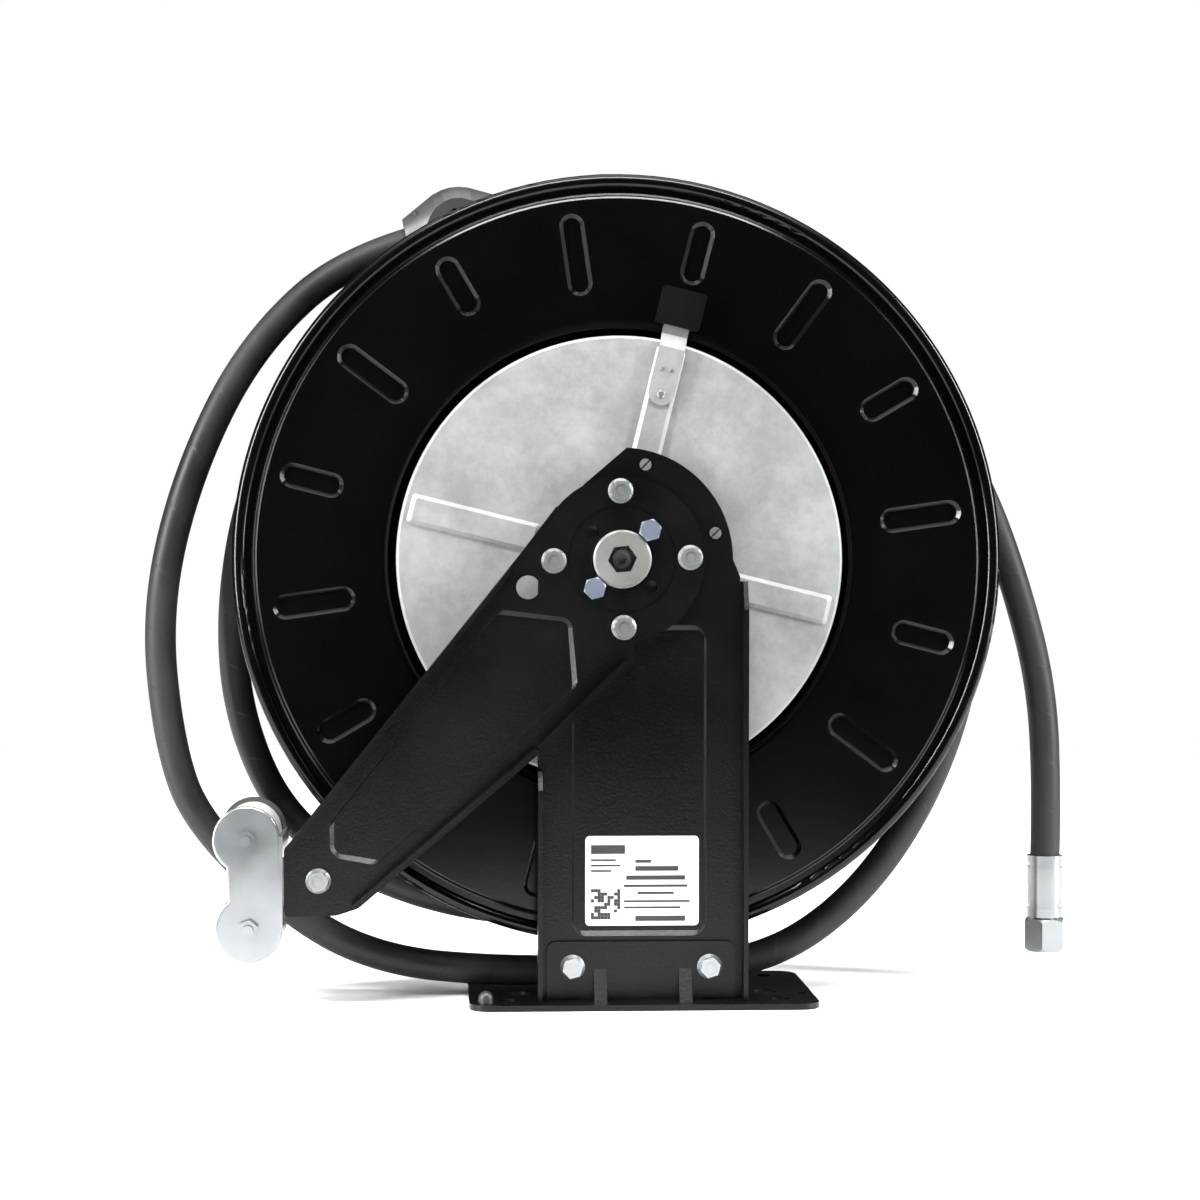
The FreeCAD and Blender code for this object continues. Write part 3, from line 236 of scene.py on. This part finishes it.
def hose_material(name, length):
    """Wrapped rubber: the spiral lines follow the hose's own length and girth."""
    material, tree, surface = shader(name, (0.019, 0.019, 0.020), 0.55)
    split = tree.nodes.new("ShaderNodeSeparateXYZ")
    tree.links.new(place(tree, "UV"), split.inputs[0])
    along = node(tree, "ShaderNodeMath", operation="MULTIPLY")
    along.inputs[1].default_value = round(length / WRAP_PITCH)
    tree.links.new(split.outputs[0], along.inputs[0])
    turn = node(tree, "ShaderNodeMath", operation="ADD")
    tree.links.new(along.outputs[0], turn.inputs[0])
    tree.links.new(split.outputs[1], turn.inputs[1])
    part = node(tree, "ShaderNodeMath", operation="FRACT")
    tree.links.new(turn.outputs[0], part.inputs[0])
    line = spread(tree, part.outputs[0], 0.0, 1.0, 0.0, 0.05)
    cloth = noise(tree, 900.0, 2.0)
    patch = noise(tree, 14.0, 4.0)
    tree.links.new(shades(tree, patch, (0.006, 0.006, 0.0065), (0.014, 0.014, 0.0145)),
                   surface.inputs["Base Color"])
    tree.links.new(spread(tree, patch, 0.42, 0.62), surface.inputs["Roughness"])
    bumps(tree, surface, cloth, 0.00008, 0.5)
    bumps(tree, surface, line, 0.0003, 0.7)
    surface.inputs["Specular IOR Level"].default_value = 0.25
    return material


free_length = line_length(ROUTE)
wound_length = line_length(wound)
hose_wound.data.materials.append(hose_material("hose_rubber_wound", wound_length))
hose_free.data.materials.append(hose_material("hose_rubber_free", free_length))
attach(hose_wound, "drum")
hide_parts("hose_coil")
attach(hose_free, "frame")
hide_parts("free_hose")


# ---- pedestal, arm and base -------------------------------------------------------------
# Pressed sheet with a black powder coat that has a fine leathery grain. The spacer behind the
# arm's head and the strip's pad have the same coat.
def soften(name, width, segments=3, angle=35.0):
    """Rounds a CAD node's edges as a press and a coat of paint leave them."""
    bevel = nodes[name].modifiers.new("soft_edges", "BEVEL")
    bevel.width = width
    bevel.segments = segments
    bevel.limit_method = "ANGLE"
    bevel.angle_limit = math.radians(angle)


def textured_black():
    material, tree, surface = shader("textured_black", (0.012, 0.012, 0.013), 0.42)
    grain = noise(tree, 620.0, 3.0, 0.6)
    worn = noise(tree, 9.0, 5.0, 0.6)
    tree.links.new(shades(tree, worn, (0.0006, 0.0006, 0.0007), (0.0014, 0.0014, 0.0015)),
                   surface.inputs["Base Color"])
    tree.links.new(spread(tree, worn, 0.28, 0.38), surface.inputs["Roughness"])
    bumps(tree, surface, grain, 0.00035, 0.45)
    surface.inputs["Specular IOR Level"].default_value = 0.22
    return material


black_frame = textured_black()
for name in ("base_plate", "pedestal", "guide_arm", "head_spacer", "strip_pad"):
    coat(name, black_frame)
soften("pedestal", 0.0010)
soften("guide_arm", 0.0010)
soften("base_plate", 0.0008)
soften("strip_pad", 0.0012)


# ---- drum -------------------------------------------------------------------------------
# The flanges, the core and the web: deep black satin powder coat, smoother than the frame's,
# with softened pressed edges on the two flanges.
def satin_black():
    material, tree, surface = shader("satin_black", (0.008, 0.008, 0.009), 0.30)
    film = noise(tree, 5.0, 5.0, 0.6)
    peel = noise(tree, 260.0, 2.0, 0.5)
    tree.links.new(shades(tree, film, (0.0004, 0.0004, 0.0005), (0.0009, 0.0009, 0.0010)),
                   surface.inputs["Base Color"])
    tree.links.new(spread(tree, film, 0.16, 0.22), surface.inputs["Roughness"])
    bumps(tree, surface, peel, 0.0002, 0.10)
    surface.inputs["Specular IOR Level"].default_value = 0.22
    return material


black_drum = satin_black()
for name in ("front_flange", "rear_flange", "drum_core", "drum_web"):
    coat(name, black_drum)
for name in ("front_flange", "rear_flange"):
    soften(name, 0.0007, 3, 25.0)


# ---- galvanised pieces ------------------------------------------------------------------
# The cover, the spring case behind it and the strip on the cover's top rib: matt zinc with a
# soft, cloudy spangle.
def galvanised():
    material, tree, surface = shader("galvanised", (0.42, 0.43, 0.42), 0.45, 0.30)
    cloud = noise(tree, 26.0, 7.0, 0.68)
    streak = noise(tree, 190.0, 3.0, 0.6)
    mix = node(tree, "ShaderNodeMath", operation="ADD")
    tree.links.new(cloud, mix.inputs[0])
    tree.links.new(spread(tree, streak, -0.08, 0.08), mix.inputs[1])
    tree.links.new(shades(tree, mix.outputs[0], (0.185, 0.193, 0.189), (0.245, 0.253, 0.249),
                          0.34, 0.68), surface.inputs["Base Color"])
    tree.links.new(spread(tree, cloud, 0.40, 0.56), surface.inputs["Roughness"])
    bumps(tree, surface, streak, 0.00006, 0.35)
    return material


zinc_spangle = galvanised()
for name in ("cover_disc", "spring_case", "retaining_strip"):
    coat(name, zinc_spangle)


# ---- plated and turned steel ------------------------------------------------------------
# Fasteners, the hose guide, the swivel and the hose's end are bright zinc; two bolts are
# plated blue. Shafts, the hub and the ratchet are turned steel, and the bushes are bronze.
def plated(name, dark, light, smooth, matt):
    material, tree, surface = shader(name, light, (smooth + matt) / 2, 0.65)
    cloud = noise(tree, 45.0, 3.0, 0.5)
    tree.links.new(shades(tree, cloud, dark, light, 0.2, 0.8), surface.inputs["Base Color"])
    tree.links.new(spread(tree, cloud, smooth, matt, 0.2, 0.8), surface.inputs["Roughness"])
    bumps(tree, surface, noise(tree, 500.0, 2.0), 0.00002, 0.12)
    return material


bright_zinc = plated("bright_zinc", (0.20, 0.21, 0.215), (0.28, 0.29, 0.295), 0.15, 0.25)
blue_zinc = plated("blue_zinc", (0.16, 0.19, 0.26), (0.25, 0.28, 0.35), 0.20, 0.30)
turned_steel = plated("turned_steel", (0.22, 0.215, 0.205), (0.32, 0.315, 0.30), 0.24, 0.36)
blued_steel = plated("blued_steel", (0.10, 0.11, 0.14), (0.20, 0.21, 0.25), 0.28, 0.40)
bronze = plated("bronze", (0.42, 0.29, 0.13), (0.60, 0.44, 0.22), 0.38, 0.50)
for name in ("base_bolts", "base_nuts", "head_bolts", "pawl_pin", "spring_pin", "pawl_spring",
             "guide_bracket", "guide_axles", "guide_nuts", "guide_bolt", "guide_bolt_nut",
             "strip_rivets", "hub_bolts", "swivel_body", "feed_pipe", "inner_fitting",
             "hose_stop_screws", "hose_ferrule", "swivel_nut"):
    coat(name, bright_zinc)
coat("axle_bolts", blue_zinc)
for name in ("axle", "axle_collar", "axle_screw", "spring_arbor", "thrust_washer", "pawl",
             "ratchet_wheel", "ratchet_rivets", "drum_hub", "hose_stem"):
    coat(name, turned_steel)
for name in ("circlip", "power_spring"):
    coat(name, blued_steel)
for name in ("bush_front", "bush_rear"):
    coat(name, bronze)


# ---- rubber and plastic -----------------------------------------------------------------
# The stud and the seals are smooth rubber, and the hose stop is black plastic. The rollers are
# natural nylon.
def moulded(name, colour, smooth, matt):
    material, tree, surface = shader(name, colour, matt)
    tree.links.new(spread(tree, noise(tree, 60.0, 4.0), smooth, matt), surface.inputs["Roughness"])
    bumps(tree, surface, noise(tree, 800.0, 2.0), 0.00005, 0.3)
    return material


black_rubber = moulded("black_rubber", (0.016, 0.016, 0.017), 0.38, 0.52)
stop_plastic = moulded("stop_plastic", (0.020, 0.020, 0.021), 0.40, 0.52)
nylon = moulded("nylon", (0.62, 0.62, 0.58), 0.40, 0.55)
for name in ("base_stud", "swivel_seals"):
    coat(name, black_rubber)
for name in ("hose_stop_front", "hose_stop_rear"):
    coat(name, stop_plastic)
for name in ("roller_upper", "roller_lower"):
    coat(name, nylon)


# ---- rating plate -----------------------------------------------------------------------
# A printed silver film in the pedestal's pressed panel. Its print is plain bars and blocks
# with no letters.
film, tree, surface = shader("label_film", (0.60, 0.61, 0.62), 0.34, 0.35)
tree.links.new(spread(tree, noise(tree, 80.0), 0.30, 0.40), surface.inputs["Roughness"])
coat("rating_label", film)
ink, tree, surface = shader("label_ink", (0.015, 0.015, 0.016), 0.42)
tree.links.new(spread(tree, noise(tree, 300.0), 0.36, 0.48), surface.inputs["Roughness"])

label_low, label_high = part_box("rating_label")
LABEL_W = label_high[0] - label_low[0]
LABEL_H = label_high[2] - label_low[2]
PRINT_Y = label_low[1] - 0.00004
# Each block: left, bottom, width and height, as parts of the label's own width and height.
blocks = [(0.05, 0.80, 0.30, 0.10), (0.05, 0.72, 0.22, 0.022), (0.05, 0.66, 0.26, 0.022),
          (0.05, 0.60, 0.18, 0.022), (0.44, 0.70, 0.14, 0.035), (0.44, 0.61, 0.38, 0.055),
          (0.36, 0.51, 0.52, 0.05), (0.34, 0.43, 0.56, 0.028), (0.46, 0.35, 0.32, 0.028),
          (0.34, 0.26, 0.58, 0.024), (0.34, 0.19, 0.50, 0.024), (0.44, 0.05, 0.44, 0.06)]
CELLS = 9
for row in range(CELLS):
    for column in range(CELLS):
        if random.random() < 0.52:
            blocks.append((0.05 + 0.26 * column / CELLS, 0.07 + 0.34 * row / CELLS,
                           0.255 / CELLS, 0.335 / CELLS))
mesh = bmesh.new()
for left, bottom, width, height in blocks:
    x0 = label_low[0] + left * LABEL_W
    z0 = label_low[2] + bottom * LABEL_H
    x1, z1 = x0 + width * LABEL_W, z0 + height * LABEL_H
    mesh.faces.new([mesh.verts.new(p) for p in ((x0, PRINT_Y, z0), (x1, PRINT_Y, z0),
                                                (x1, PRINT_Y, z1), (x0, PRINT_Y, z1))])
print_data = bpy.data.meshes.new("label_print")
mesh.to_mesh(print_data)
mesh.free()
label_print = bpy.data.objects.new("label_print", print_data)
bpy.context.scene.collection.objects.link(label_print)
print_data.materials.append(ink)
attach(label_print, "frame")


# ---- floor and light --------------------------------------------------------------------
# A white round floor against white, one even light from above, and three narrow strip lights
# whose reflections draw the edges of the black pressings. The surround is white to the camera
# and dim to everything else, so the black stays black.
bpy.ops.object.select_all(action="DESELECT")
bpy.ops.mesh.primitive_circle_add(vertices=96, radius=1.45, fill_type="NGON",
                                  location=(0, 0.85, -0.0005))
floor = bpy.context.active_object
floor.name = "floor"
white, tree, surface = shader("floor_white", (0.90, 0.90, 0.90), 0.8)
surface.inputs["Specular IOR Level"].default_value = 0.1
floor.data.materials.append(white)

bpy.context.scene.view_settings.view_transform = "Standard"
world = bpy.data.worlds.new("surround")
bpy.context.scene.world = world
world.use_nodes = True
tree = world.node_tree
backdrop = tree.nodes["Background"]
backdrop.inputs["Color"].default_value = (1.0, 1.0, 1.0, 1.0)
backdrop.inputs["Strength"].default_value = 1.0
dim = tree.nodes.new("ShaderNodeBackground")
dim.inputs["Color"].default_value = (1.0, 1.0, 1.0, 1.0)
dim.inputs["Strength"].default_value = 0.035
seen = tree.nodes.new("ShaderNodeLightPath")
either = tree.nodes.new("ShaderNodeMixShader")
tree.links.new(seen.outputs["Is Camera Ray"], either.inputs[0])
tree.links.new(dim.outputs[0], either.inputs[1])
tree.links.new(backdrop.outputs[0], either.inputs[2])
tree.links.new(either.outputs[0], tree.nodes["World Output"].inputs["Surface"])

sky = bpy.data.lights.new("overhead", "SUN")
sky.energy = 3.5
sky.angle = math.radians(70)
overhead = bpy.data.objects.new("overhead", sky)
bpy.context.scene.collection.objects.link(overhead)
overhead.rotation_euler = (math.radians(6), 0, 0)


def soft_box(name, place, aim, size, power):
    """A narrow rectangular light, turned to face a point."""
    data = bpy.data.lights.new(name, "AREA")
    data.shape = "RECTANGLE"
    data.size, data.size_y = size
    data.energy = power
    lamp = bpy.data.objects.new(name, data)
    bpy.context.scene.collection.objects.link(lamp)
    lamp.location = place
    lamp.rotation_euler = (Vector(aim) - Vector(place)).to_track_quat("-Z", "Y").to_euler()


soft_box("strip_left", (-1.55, -0.62, 0.7), (0, 0, 0.25), (0.20, 1.5), 85)
soft_box("strip_right", (1.6, -0.50, 0.7), (0, 0, 0.25), (0.20, 1.5), 65)
soft_box("above", (0, -0.75, 1.6), (0, 0, 0.3), (1.3, 0.20), 48)
